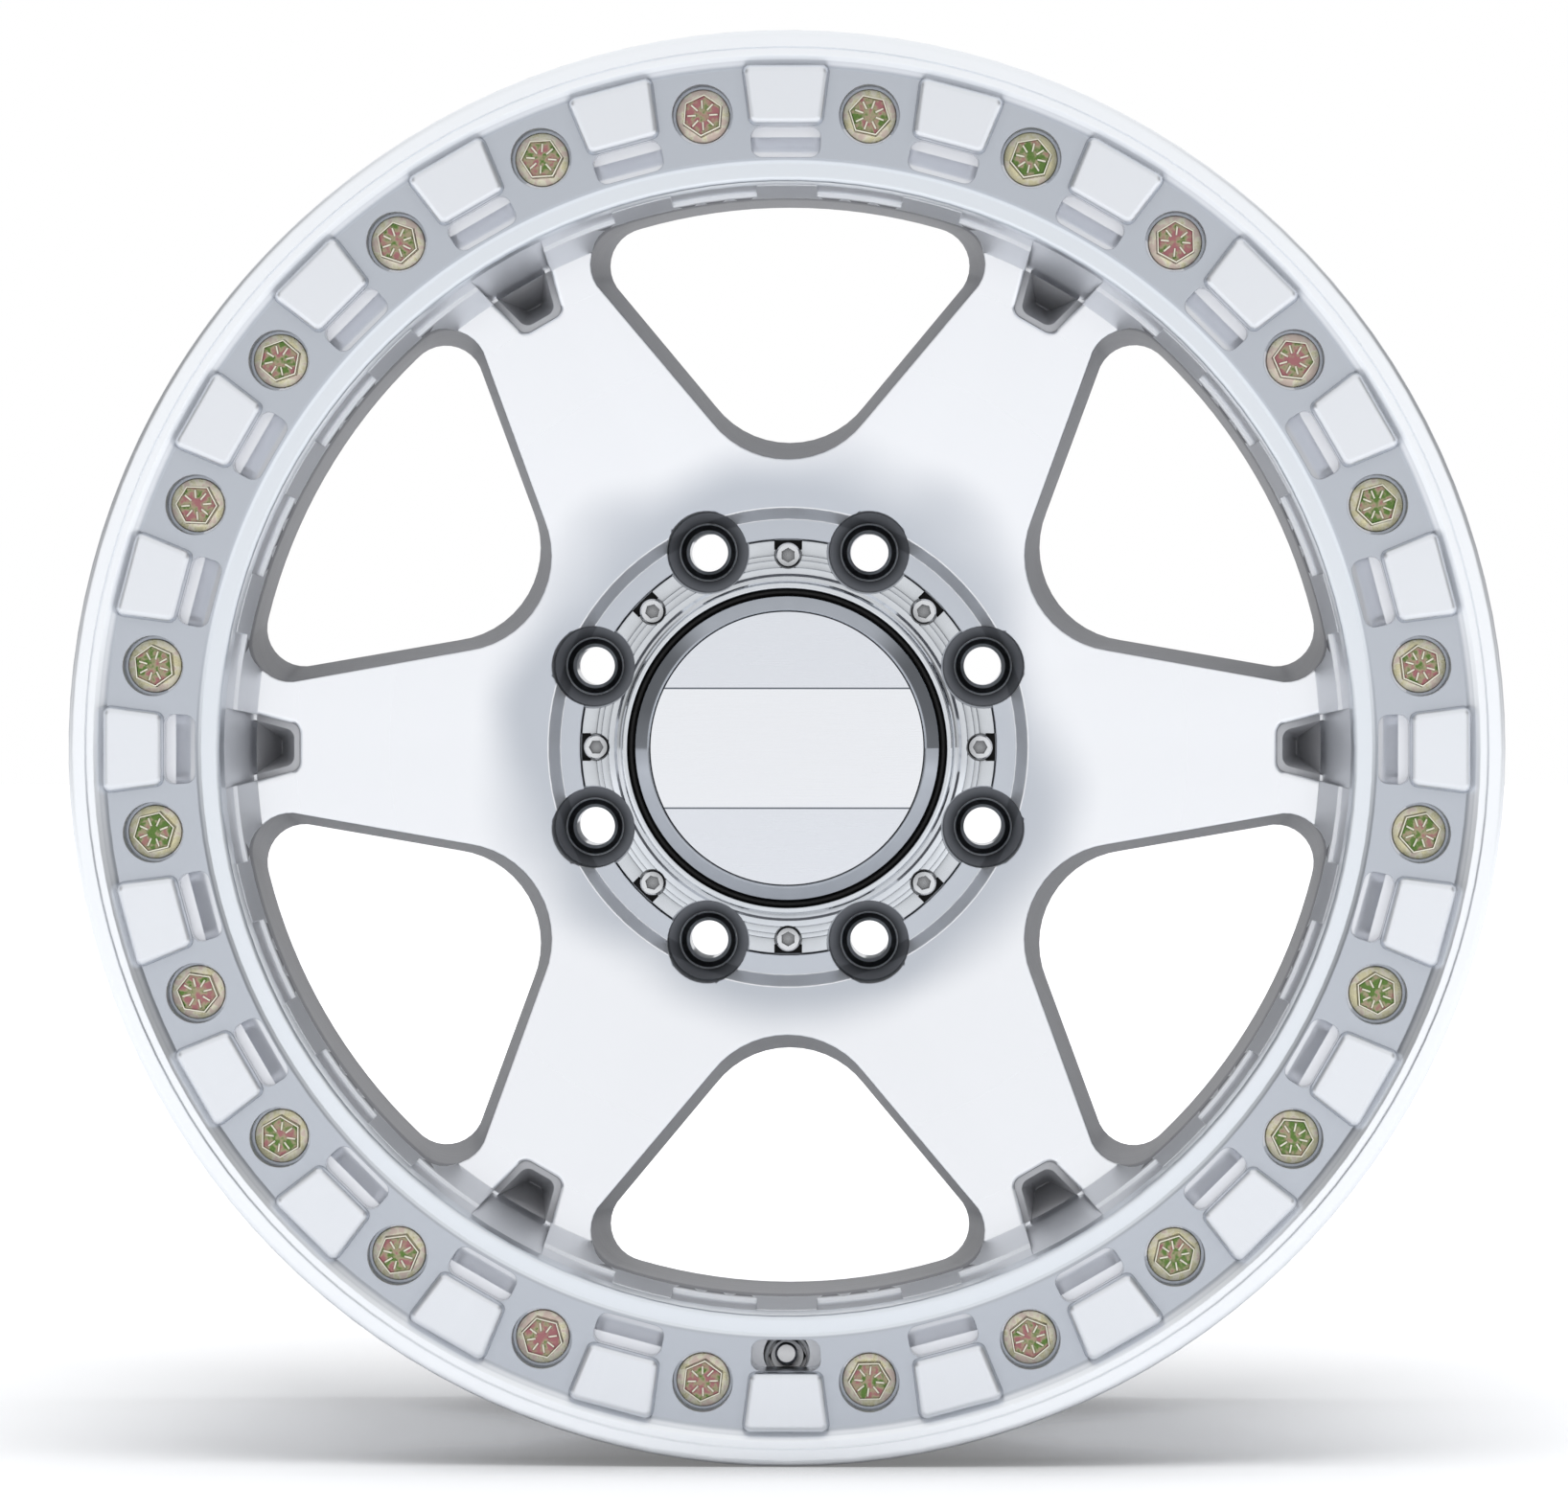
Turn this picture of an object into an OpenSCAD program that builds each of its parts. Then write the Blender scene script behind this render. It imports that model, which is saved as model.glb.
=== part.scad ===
// Beadlock wheel: a cast six-spoke wheel with a bolted outer clamp ring,
// a bolt-on hub cap and a clamp-in valve. Millimetres.
// The wheel stands upright: its axle runs along Y, its street side faces -Y,
// and the origin is the centre of the hub pad.

/* [Rim] */
// Diameter of both bead seats
bead_seat_d = 507.9; // [500:0.1:512]
// Width between the two tyre beads' outer faces
rim_width = 228.6; // [220:0.1:240]
// Distance from the rim's centre line forward to the hub pad
wheel_offset = 18; // [12:0.5:22]
// Axial room for the outboard tyre bead, between shelf and clamp ring
bead_gap = 18; // [16:0.5:20]
// Height of the outboard bead shelf over its bead seat
shelf_h = 16; // [12:0.5:17]
// Height of the inboard flange over its bead seat
rear_flange_h = 17.5; // [14:0.5:19]
// Thickness of the bolt ring's edge behind the bead shelf
shelf_t = 14; // [13.5:0.5:16]
// Thickness of the inboard flange
flange_t = 8; // [6:0.5:9]
// Outer diameter of the drop centre
drop_centre_d = 453; // [450:0.5:458]
// Thickness of the barrel wall
barrel_wall = 8; // [7:0.5:9]
// Radius of the fillet between the spokes' backs and the barrel, outside the windows
back_fillet = 4.5; // [3:0.5:4.5]
// Length of the drop centre behind the spokes' backs
drop_centre_len = 60; // [50:1:66]

/* [Spokes] */
// Number of spokes
spoke_count = 6; // [6:1:6]
// Height of the machined face over the hub pad, at the hub recess
hub_face_h = 60; // [58:0.5:61]
// Rise of the machined face from the hub recess to the spoke ends
face_rise = 7; // [5:0.5:8]
// Radius at which the machined face meets the conical wall
face_end_r = 207; // [205:0.5:208]
// Radius of the windows' outer edge
window_out_r = 213; // [211:0.5:213.5]
// Distance from the axle to the window's corner point, at the front
window_apex_r = 90.6; // [88:0.2:94]
// Shift of that point outwards through the depth of a spoke
window_draft = 8.5; // [6:0.5:10]
// Angle of each window side from the window's centre line
window_half_angle = 39.8; // [39:0.2:40.4]
// Radius of the window's rounded nose near the hub
window_nose_r = 37; // [34:1:40]
// Radius of the window's two outer corners
window_corner_r = 15; // [13:0.5:17]
// Height of the spokes' backs over the hub pad
spoke_back_h = 13; // [11:0.5:16]
// Depth of the channel cast in the back of each spoke
channel_depth = 26; // [18:1:30]
// Width of that channel at its inner end
channel_w = 30; // [24:1:34]

/* [Spoke end notches] */
// Distance from the axle to the notch's inner end
notch_in_r = 189.8; // [188:0.2:192]
// Width of the notch at its inner end
notch_w_in = 18.4; // [16:0.2:20]
// Width of the notch at the conical wall
notch_w_out = 27; // [25:0.2:29]
// Width of the rounded rim round the notch
notch_rim = 2.6; // [2:0.1:3]
// Depth of the notch under the machined face
notch_depth = 23; // [20:0.5:25]
// Share of the width that is left at the notch's floor
notch_taper = 0.5; // [0.45:0.05:0.6]

/* [Clamp ring] */
// Outer diameter of the ring
ring_d = 551; // [548:0.5:554]
// Thickness of the ring at its outer lip
ring_lip_t = 15.7; // [15:0.1:17]
// Diameter of the ring's opening
ring_open_d = 435.6; // [434:0.2:437]
// Step between the ring's bolting face and its clamping face
clamp_step = 6.3; // [5.5:0.1:7]
// Diameter of the bolt circle
bolt_circle_d = 490.6; // [490:0.2:492]
// Number of clamp bolts, and of the raised pads between them
bolt_count = 24; // [24:1:24]
// Height of the raised pads over the bolt lands
pad_h = 4.5; // [4:0.1:5]
// Inner radius of the pads, where their pockets begin
pad_in_r = 239; // [238:0.2:240]
// Outer radius of the pads
pad_out_r = 262.5; // [262:0.1:263]
// Width of a pad at its inner end
pad_w_in = 28.4; // [26:0.2:30]
// Width of a pad at its outer end
pad_w_out = 34.6; // [32:0.2:36]
// Radial length of a pad's pocket
pocket_len = 12; // [11:0.2:12.4]
// Width of a pad's pocket
pocket_w = 26.6; // [25:0.2:27]
// Depth of a pocket at its deep end, under the land
pocket_depth = 7; // [5:0.5:8]
// Diameter of the bolt head counterbores
counterbore_d = 23.2; // [22.4:0.2:24]
// Depth of the bolt head counterbores under the land
counterbore_depth = 10.5; // [10:0.5:11]
// Depth of the centring lip behind the bolting face
ring_lip_depth = 4; // [3:0.5:5]
// Radial thickness of the centring lip
ring_lip_w = 4.2; // [3.6:0.2:4.6]
// Clearance of the centring lip in the body
register_gap = 0.2; // [0.1:0.05:0.3]

/* [Clamp bolts] */
// Thread diameter of the clamp bolts
bolt_d = 9.5; // [8:0.1:10]
// Length of a bolt under its flange
bolt_len = 31; // [28:0.5:31.5]
// Diameter of a bolt's flange
bolt_flange_d = 20.8; // [19:0.2:21.6]
// Thickness of a bolt's flange at its edge
bolt_flange_t = 1.6; // [1.2:0.1:2]
// Width across a bolt's hexagon
bolt_hex_af = 14.3; // [12.7:0.1:15]
// Height of a bolt's head
bolt_head_h = 8.4; // [8:0.1:9.6]
// Clearance round a bolt in the ring's holes
bolt_gap = 0.5; // [0.3:0.1:0.7]
// Wall of the threaded inserts
insert_wall = 1.1; // [0.9:0.1:1.4]
// Clearance on each side of an insert's wall
insert_gap = 0.1; // [0.05:0.05:0.15]
// Depth of the threaded holes in the body
thread_depth = 25.5; // [25:0.1:26]

/* [Hub] */
// Diameter of the centre bore
centre_bore_d = 125.1; // [120:0.1:126]
// Diameter of the hub pad
hub_pad_d = 212; // [208:1:216]
// Diameter of the wheel stud circle
stud_circle_d = 165.1; // [164:0.1:166]
// Number of wheel studs
stud_count = 8; // [8:1:8]
// Diameter of the stud holes
stud_hole_d = 15; // [14:0.1:16]
// Diameter of the lug nut pockets
lug_pocket_d = 31.4; // [30.4:0.2:32]
// Height of the lug pocket floor over the hub pad
lug_floor_h = 36.6; // [34:0.2:38]
// Largest diameter of the 60 degree nut seat
seat_d = 22.6; // [21:0.2:24]
// Diameter of the hub recess at the machined face
recess_d = 187; // [186:0.5:189]
// Diameter of the hub recess at its floor
recess_floor_d = 178.4; // [177:0.2:180]
// Height of the hub recess floor over the hub pad
recess_floor_h = 54.5; // [53:0.5:55.5]
// Height of the cap's seat over the hub pad
cap_seat_h = 46; // [45:0.5:47]
// Diameter of the relief holes in the back of the hub pad
relief_d = 20; // [16:1:22]
// Depth of the relief holes
relief_depth = 20; // [14:1:22]

/* [Hub cap] */
// Outer diameter over the cap's feet
cap_foot_d = 162.4; // [162:0.1:162.8]
// Clearance of the feet in the hub recess
cap_gap = 0.3; // [0.2:0.1:0.4]
// Thickness of the gasket under the cap
gasket_t = 2; // [1.5:0.1:2.5]
// Height of the feet over the gasket
foot_h = 5.8; // [5.4:0.1:6]
// Outer diameter of the cap's collar
collar_d = 128.4; // [127.6:0.2:128.6]
// Height of the collar's rim over the cap's seat
collar_h = 34; // [32:0.5:36]
// Width of the collar's rim
collar_wall = 2.3; // [2:0.1:2.6]
// Radius of the cut round each lug pocket
scallop_r = 16.5; // [16.2:0.1:16.8]
// Diameter of the circle of cap screws
screw_circle_d = 150; // [149:0.5:151]
// Number of cap screws
screw_count = 8; // [8:1:8]
// Thread diameter of the cap screws
screw_d = 6; // [5:0.1:6.2]
// Head diameter of the cap screws
screw_head_d = 9.8; // [9:0.1:10]
// Length of a cap screw under its head
screw_len = 18; // [16:0.5:20]
// Width of the open slot outside each screw
foot_slot_w = 10.8; // [10.4:0.1:11.2]
// Width of the groove between the cap's insert and the collar
seal_groove_w = 2.7; // [2.4:0.1:3.1]
// Height of the insert's lip over the collar's rim
insert_rise = 3.4; // [2.6:0.2:4]
// Width of the insert's bezel round the face plate
bezel_w = 6.4; // [6.1:0.1:7.2]
// Thickness of the face plate
plate_t = 1; // [0.8:0.1:1.2]
// Distance of the two engraved lines from the plate's centre
line_y = 23.2; // [20:0.2:26]
// Width of an engraved line
line_w = 0.6; // [0.4:0.1:1]

/* [Valve] */
// Tilt of the valve towards the axle
valve_tilt = 8; // [7.5:0.1:8.5]
// Distance from the axle to the valve's inner seat
valve_r = 238.2; // [238:0.1:238.6]
// Diameter of the recess round the valve
valve_recess_d = 17.8; // [17.4:0.1:18.2]
// Thickness of the wall that the valve clamps
valve_wall = 5; // [4.6:0.1:5.4]
// Diameter of the valve's hole in that wall
valve_hole_d = 11.5; // [11.2:0.1:11.8]
// Diameter of the valve's stem
stem_d = 7.7; // [7.5:0.1:7.8]
// Height of the stem's mouth over the inner seat
stem_h = 32; // [31:0.5:32.5]
// Outer diameter of the valve cap
valve_cap_d = 8.8; // [8.7:0.1:8.9]
// Length of the valve cap
valve_cap_len = 10; // [9:0.5:11]
// Width across the valve nut
valve_nut_af = 12.6; // [12.2:0.1:13]

/* [Hidden] */
$fn = 96;
eps = 0.02;

seat_r = bead_seat_d / 2;
clamp_z = rim_width / 2 - wheel_offset;
rear_z = -rim_width / 2 - wheel_offset;
ring_front_z = clamp_z + ring_lip_t;
bolt_face_z = clamp_z - clamp_step;
shelf_z = clamp_z - bead_gap;
land_z = ring_front_z - pad_h;
bolt_seat_z = land_z - counterbore_depth;
ring_r = ring_d / 2;
ring_open_r = ring_open_d / 2;
lip_z = bolt_face_z - ring_lip_depth;
register_r = ring_open_r + ring_lip_w;
bolt_r = bolt_circle_d / 2;
bolt_step = 360 / bolt_count;
spoke_step = 360 / spoke_count;
wall_r = ring_open_r - 0.3;
face_end_z = hub_face_h + face_rise;
drop_r = drop_centre_d / 2;
barrel_r = drop_r - barrel_wall;
stud_r = stud_circle_d / 2;
screw_r = screw_circle_d / 2;
cap_base_z = cap_seat_h + gasket_t;
foot_top_z = cap_base_z + foot_h;
collar_r = collar_d / 2;
collar_top_z = cap_seat_h + collar_h;
collar_in_r = collar_r - collar_wall;
ledge_z = collar_top_z - 6;
insert_r = collar_in_r - seal_groove_w;
plate_d = 2 * (insert_r - bezel_w);
ledge_r = insert_r - 9;
leg_r = ledge_r - 0.3;
leg_t = 1.8;
insert_top_z = collar_top_z + insert_rise;
plate_seat_z = insert_top_z - plate_t - 0.6;
stem_r = stem_d / 2;
core_r = 2.5;
core_top = stem_h - 1;
pin_r = 0.7;

// Turns a part drawn with its axle along Z so that its front faces -Y
module upright() {
    rotate([90, 0, 0])
        children();
}

// Places copies round the axle, the first at the given angle
module ring_of(count, start) {
    for (k = [0:count - 1])
        rotate([0, 0, start + k * 360 / count])
            children();
}

// Points of an arc, from angle a to angle b
function arc(c, r, a, b, n = 8) =
    [for (i = [0:n]) [c[0] + r * cos(a + (b - a) * i / n), c[1] + r * sin(a + (b - a) * i / n)]];

// Outline of a trapezoid along X with rounded corners
module rounded_keystone(x1, w1, x2, w2, r) {
    a = atan2((w2 - w1) / 2, x2 - x1);
    y1 = w1 / 2 + r * (sin(a) - 1) / cos(a);
    y2 = w2 / 2 - r * (sin(a) + 1) / cos(a);
    polygon(concat(
        arc([x1 + r, y1], r, 90 + a, 180, 6),
        arc([x1 + r, -y1], r, 180, 270 - a, 6),
        arc([x2 - r, -y2], r, 270 - a, 360, 6),
        arc([x2 - r, y2], r, 0, 90 + a, 6)
    ));
}

// Radius of the conical wall at a given height
function cone_r(z) = face_end_r + (wall_r - face_end_r) * (z - face_end_z) / (lip_z - face_end_z);

// Height of the bolt ring's back face at a given radius
function back_z(r) = shelf_z - shelf_t - (seat_r + shelf_h - 8 - r) * tan(valve_tilt);

// Half section of the cast body, radius first and height second
function body_section() = let(
    back_r = drop_r + 3,
    shelf_r = seat_r + shelf_h,
    flange_r = seat_r + rear_flange_h,
    drop_end_z = spoke_back_h - drop_centre_len,
    hump_z = rear_z + 28
) concat(
    [[centre_bore_d / 2, 1.5], [centre_bore_d / 2 + 1.5, 0], [hub_pad_d / 2 - 1.5, 0], [hub_pad_d / 2, 1.5]],
    arc([hub_pad_d / 2 + 9, spoke_back_h - 9], 9, 180, 90, 6),
    [[window_out_r - 22, spoke_back_h]],
    arc([barrel_r - back_fillet, spoke_back_h - back_fillet], back_fillet, 90, 0, 6),
    [[barrel_r, drop_end_z + 4], [barrel_r + 14, drop_end_z - 16]],
    [[seat_r - barrel_wall - 4, hump_z + 8], [seat_r - barrel_wall, hump_z + 1], [seat_r - barrel_wall, rear_z + 8]],
    [[seat_r, rear_z - 2], [flange_r - 8, rear_z - flange_t + 1], [flange_r - 5, rear_z - flange_t - 4]],
    arc([flange_r - 2.5, rear_z - flange_t - 1.5], 2.5, 270, 360, 4),
    arc([flange_r - 3, rear_z - 3.5], 3, 0, 90, 4),
    arc([seat_r + 6, rear_z + 5.5], 6, 270, 180, 6),
    [[seat_r, hump_z - 4], [seat_r + 1.6, hump_z - 1], [seat_r + 1.6, hump_z + 1], [seat_r - 1, hump_z + 6]],
    [[seat_r - 4, hump_z + 10], [drop_r + 13, drop_end_z - 18], [drop_r, drop_end_z], [drop_r, back_z(back_r) - 6]],
    arc([back_r, back_z(back_r) - 4], 3, 180, 98, 4),
    [[shelf_r - 8, shelf_z - shelf_t]],
    arc([shelf_r - 3, shelf_z - 3.6], 3, -20, 90, 6),
    arc([seat_r + 3, shelf_z + 2.4], 3, 270, 180, 4),
    [[seat_r, bolt_face_z - 1], [seat_r - 1, bolt_face_z]],
    [[register_r + register_gap, bolt_face_z], [register_r + register_gap, lip_z], [wall_r, lip_z]],
    [[face_end_r, face_end_z], [recess_d / 2, hub_face_h], [recess_floor_d / 2, recess_floor_h]],
    [[cap_foot_d / 2 + cap_gap, recess_floor_h], [cap_foot_d / 2 + cap_gap, cap_seat_h]],
    [[centre_bore_d / 2, cap_seat_h]]
);

// Centre of a window's right outer corner, for a slice with its corner point at the given radius
function window_corner(apex) = let(
    a = window_half_angle,
    corner_apex = apex + window_corner_r / sin(a),
    corner_arm = window_out_r - window_corner_r,
    reach = sqrt(pow(corner_arm, 2) - pow(corner_apex * sin(a), 2)) - corner_apex * cos(a)
) [reach * sin(a), corner_apex + reach * cos(a)];

// Half angle of the straight-walled part of a slice's outer edge
function window_arc_half(apex) = atan2(window_corner(apex)[0], window_corner(apex)[1]);

// Flat slice of a window at one height; both slices share the points of their outer edge
module window_slice(z, apex, arc_half) {
    corner = window_corner(apex);
    nose_y = apex + window_nose_r / sin(window_half_angle);
    translate([0, 0, z])
        linear_extrude(eps) {
            translate([0, nose_y])
                circle(window_nose_r, $fn = 48);
            for (side = [-1, 1])
                translate([side * corner[0], corner[1]])
                    circle(window_corner_r, $fn = 32);
            polygon(concat([[0, nose_y]], arc([0, 0], window_out_r, 90 + arc_half, 90 - arc_half, 16)));
        }
}

// Drafted window opening, wider at the front than at the back
module window_cut() {
    front_z = lip_z;
    back_cut_z = -eps;
    slope = window_draft / (face_end_z - spoke_back_h);
    front_apex = window_apex_r - (front_z - face_end_z) * slope;
    back_apex = window_apex_r + (face_end_z - back_cut_z) * slope;
    arc_half = min(window_arc_half(front_apex), window_arc_half(back_apex));
    hull() {
        window_slice(front_z, front_apex, arc_half);
        window_slice(back_cut_z, back_apex, arc_half);
    }
}

// Cast notch at the outer end of a spoke, along +X: a rounded rim, a tapered
// pocket and a ramp that climbs to the conical wall
module notch_cut() {
    out_x = wall_r + 6;
    grow = (notch_w_out - notch_w_in) / (face_end_r - notch_in_r);
    w_out = notch_w_in + grow * (out_x - notch_in_r);
    mid_x = notch_in_r + 15;
    floor_z = face_end_z - notch_depth;
    rim_z = face_end_z - notch_rim;
    corner = 4;
    intersection() {
        translate([mid_x, 0, 0])
            union() {
                translate([0, 0, rim_z - 0.5])
                    linear_extrude(lip_z - rim_z + 1)
                        offset_keystone(notch_in_r - mid_x, notch_w_in, out_x - mid_x, w_out, corner, 0.5);
                translate([0, 0, floor_z])
                    linear_extrude(height = rim_z - floor_z, scale = 1 / notch_taper)
                        scale([notch_taper, notch_taper])
                            offset_keystone(notch_in_r - mid_x, notch_w_in, out_x - mid_x, w_out, corner, notch_rim);
            }
        ramp_space(floor_z);
    }
}

// Keystone outline moved in by a given width on its three closed sides
module offset_keystone(x1, w1, x2, w2, r, inset) {
    rounded_keystone(x1 + inset, w1 - 2 * inset, x2, w2 - 2 * inset, r);
}

// Space above the notch's ramp, which rises from the notch floor to the wall's top
module ramp_space(floor_z) {
    ramp_top = cone_r(lip_z) + 0.8;
    ramp_bottom = notch_in_r + 9.4;
    rotate([90, 0, 0])
        translate([0, 0, -notch_w_out])
            linear_extrude(2 * notch_w_out)
                polygon([
                    [notch_in_r - 5, floor_z], [ramp_bottom, floor_z], [ramp_top, lip_z],
                    [ramp_top, lip_z + 1], [notch_in_r - 5, lip_z + 1]
                ]);
}

// Shallow recess milled in the conical wall next to a clamp bolt
module wall_recess_cut() {
    low_z = lip_z - 6.5;
    depth = 1.6;
    half = 4.4;
    rotate([0, 0, -half])
        rotate_extrude(angle = 2 * half)
            polygon([
                [cone_r(low_z) - 6, low_z], [cone_r(low_z) + depth, low_z],
                [cone_r(lip_z) + depth, lip_z + 0.5], [cone_r(lip_z) - 6, lip_z + 0.5]
            ]);
}

// Lug nut pocket with its conical seat and stud hole
module lug_cut() {
    seat_drop = (seat_d - stud_hole_d) / 2 / tan(30);
    translate([stud_r, 0, 0]) {
        translate([0, 0, -1])
            cylinder(h = hub_face_h, d = stud_hole_d);
        translate([0, 0, lug_floor_h - seat_drop])
            cylinder(h = seat_drop + eps, d1 = stud_hole_d, d2 = seat_d + eps);
        translate([0, 0, lug_floor_h])
            cylinder(h = hub_face_h, d = lug_pocket_d);
    }
}

// Channel in the back of a spoke, along +X
module channel_cut() {
    in_x = hub_pad_d / 2 + 18;
    out_x = notch_in_r - 10;
    translate([0, 0, spoke_back_h - 3])
        linear_extrude(channel_depth + 3)
            rounded_keystone(in_x, channel_w, out_x, channel_w + 8, 9);
}

// Draws its children in the valve's own frame: origin on the inner seat, +Z out
module at_valve() {
    translate([0, -valve_r, back_z(valve_r)])
        rotate([-valve_tilt, 0, 0])
            children();
}

// Hole and recess for the valve, with a flat seat on the tyre side
module valve_cut() {
    at_valve() {
        translate([0, 0, -6])
            cylinder(h = 6.4, d = valve_recess_d + 1.4);
        cylinder(h = 12, d = valve_hole_d);
        translate([0, 0, valve_wall + 0.4])
            cylinder(h = 40, d = valve_recess_d);
    }
}

// Cast and machined wheel body
module wheel_body() {
    insert_hole_d = bolt_d + 2 * insert_wall + 4 * insert_gap;
    color("gainsboro")
        upright()
            difference() {
                rotate_extrude()
                    polygon(body_section());
                ring_of(spoke_count, 0)
                    window_cut();
                ring_of(spoke_count, 0)
                    notch_cut();
                ring_of(spoke_count, 0)
                    channel_cut();
                ring_of(bolt_count, bolt_step / 2)
                    wall_recess_cut();
                ring_of(bolt_count, bolt_step / 2)
                    translate([bolt_r, 0, bolt_face_z - thread_depth])
                        cylinder(h = thread_depth + 1, d = insert_hole_d, $fn = 32);
                ring_of(stud_count, 180 / stud_count)
                    lug_cut();
                ring_of(screw_count, 0)
                    translate([screw_r, 0, cap_seat_h - screw_len + 1])
                        cylinder(h = screw_len, d = screw_d + 0.2, $fn = 32);
                ring_of(screw_count, 0)
                    translate([stud_r, 0, -1])
                        cylinder(h = relief_depth + 1, d = relief_d);
                valve_cut();
            }
}

// Half section of the clamp ring without its pads
function ring_section() = concat(
    [[ring_open_r, lip_z + 0.6], [ring_open_r + 0.6, lip_z], [register_r - 0.6, lip_z], [register_r, lip_z + 0.6]],
    [[register_r, bolt_face_z], [seat_r + 0.2, bolt_face_z], [seat_r + 0.2, clamp_z]],
    [for (k = [0:2], p = [[3, 0], [4, 1.2], [5, 0]]) [seat_r + 4 * k + p[0], clamp_z + p[1]]],
    arc([ring_r - 4, clamp_z + 4], 4, 270, 360, 5),
    arc([ring_r - 2.6, ring_front_z - 2.6], 2.6, 0, 90, 6),
    [[ring_r - 6.4, ring_front_z], [ring_r - 7, ring_front_z - 0.9], [ring_r - 9.6, ring_front_z - 0.9]],
    [[pad_out_r - 1.2, land_z], [pad_in_r - pocket_len - 0.2, land_z], [pad_in_r - pocket_len - 2.2, land_z - 1.2]],
    arc([ring_open_r + 2, land_z - 3.2], 2, 90, 180, 4)
);

// Raised keystone pad along +X, with drafted sides
module pad() {
    mid_x = (pad_in_r + pad_out_r) / 2;
    top_share = 0.95;
    translate([mid_x, 0, land_z - 1])
        linear_extrude(height = pad_h + 1, scale = top_share)
            rounded_keystone(pad_in_r - mid_x, pad_w_in, pad_out_r - mid_x, pad_w_out, 3);
}

// Scooped pocket at a pad's inner end, along +X: deep beside the pad
module pocket_cut() {
    in_r = pad_in_r - pocket_len;
    intersection() {
        translate([0, 0, land_z - pocket_depth - 1])
            linear_extrude(pocket_depth + 8)
                rounded_keystone(in_r, pocket_w - 0.6, pad_in_r, pocket_w + 0.6, 4);
        rotate([90, 0, 0])
            translate([0, 0, -pocket_w])
                linear_extrude(2 * pocket_w)
                    polygon([
                        [in_r - 1, land_z - 2.2], [in_r + 2, land_z - 3.4], [pad_in_r - 4, land_z - pocket_depth],
                        [pad_in_r + 1, land_z - pocket_depth], [pad_in_r + 1, land_z + 6], [in_r - 1, land_z + 6]
                    ]);
    }
}

// Outer ring that clamps the tyre bead
module clamp_ring() {
    color("whitesmoke")
        upright()
            difference() {
                union() {
                    rotate_extrude()
                        polygon(ring_section());
                    ring_of(bolt_count, 0)
                        pad();
                }
                ring_of(bolt_count, 0)
                    pocket_cut();
                ring_of(bolt_count, bolt_step / 2)
                    translate([bolt_r, 0, 0]) {
                        translate([0, 0, bolt_seat_z])
                            cylinder(h = 30, d = counterbore_d, $fn = 64);
                        translate([0, 0, bolt_face_z - 1])
                            cylinder(h = 30, d = bolt_d + 2 * bolt_gap, $fn = 32);
                    }
                rotate([0, 0, 270])
                    translate([0, 0, lip_z])
                        linear_extrude(30)
                            rounded_keystone(pad_in_r - pocket_len, pocket_w - 0.6, pad_in_r, pocket_w + 0.6, 4);
            }
}

// One flanged hexagon bolt, with its flange's underside at height zero
module flange_bolt() {
    hex_r = bolt_hex_af / 2 / cos(30);
    dish_d = bolt_hex_af - 3.4;
    difference() {
        union() {
            translate([0, 0, -bolt_len])
                cylinder(h = bolt_len + eps, d = bolt_d, $fn = 32);
            cylinder(h = bolt_flange_t, d = bolt_flange_d);
            translate([0, 0, bolt_flange_t])
                cylinder(h = 1.5, d1 = bolt_flange_d - 0.6, d2 = bolt_hex_af);
            intersection() {
                cylinder(h = bolt_head_h, r = hex_r, $fn = 6);
                cylinder(h = bolt_head_h, r1 = hex_r + 3.6, r2 = bolt_hex_af / 2);
            }
        }
        translate([0, 0, bolt_head_h - 0.7])
            cylinder(h = 1, d = dish_d, $fn = 48);
    }
}

// Clamp bolts, each stopped at its own turn of the wrench
module clamp_bolts() {
    color("darkkhaki")
        upright()
            for (k = [0:bolt_count - 1])
                rotate([0, 0, (k + 0.5) * bolt_step])
                    translate([bolt_r, 0, bolt_seat_z])
                        rotate([0, 0, (k * 23) % 60])
                            flange_bolt();
}

// Threaded steel inserts in the body's bolt holes
module thread_inserts() {
    in_r = bolt_d / 2 + insert_gap;
    len = bolt_face_z - bolt_seat_z + bolt_len - 1;
    color("slategray")
        upright()
            ring_of(bolt_count, bolt_step / 2)
                translate([bolt_r, 0, bolt_face_z - len - 0.5])
                    difference() {
                        cylinder(h = len, r = in_r + insert_wall, $fn = 32);
                        translate([0, 0, -1])
                            cylinder(h = len + 2, r = in_r, $fn = 32);
                    }
}

// Cuts that follow the lug pockets round a part of the cap
module scallops() {
    ring_of(stud_count, 180 / stud_count)
        translate([stud_r, 0, 0])
            cylinder(h = 2 * collar_top_z, r = scallop_r);
}

// Half section of the cap's collar and feet
function collar_section() = let(inner_r = collar_r - 3.2) concat(
    [[inner_r, cap_base_z], [cap_foot_d / 2, cap_base_z], [cap_foot_d / 2, foot_top_z - 0.5]],
    [[cap_foot_d / 2 - 0.5, foot_top_z], [screw_r + 0.2, foot_top_z], [screw_r - 0.1, foot_top_z + 1.4]],
    [[screw_r - 1.8, foot_top_z + 1.6], [screw_r - 2.1, foot_top_z + 3.4], [screw_r - 4.6, foot_top_z + 3.8]],
    [[screw_r - 5, foot_top_z + 6.4], [screw_r - 7.2, foot_top_z + 7]],
    arc([collar_r + 3, foot_top_z + 11], 3, 260, 180, 5),
    arc([collar_r - 1, collar_top_z - 1], 1, 0, 90, 4),
    arc([collar_in_r + 0.5, collar_top_z - 0.5], 0.5, 90, 180, 3),
    [[collar_in_r, ledge_z], [ledge_r, ledge_z], [ledge_r, ledge_z - 2.4]],
    [[inner_r - 1, ledge_z - 2.4], [inner_r, ledge_z - 3.4]]
);

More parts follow.
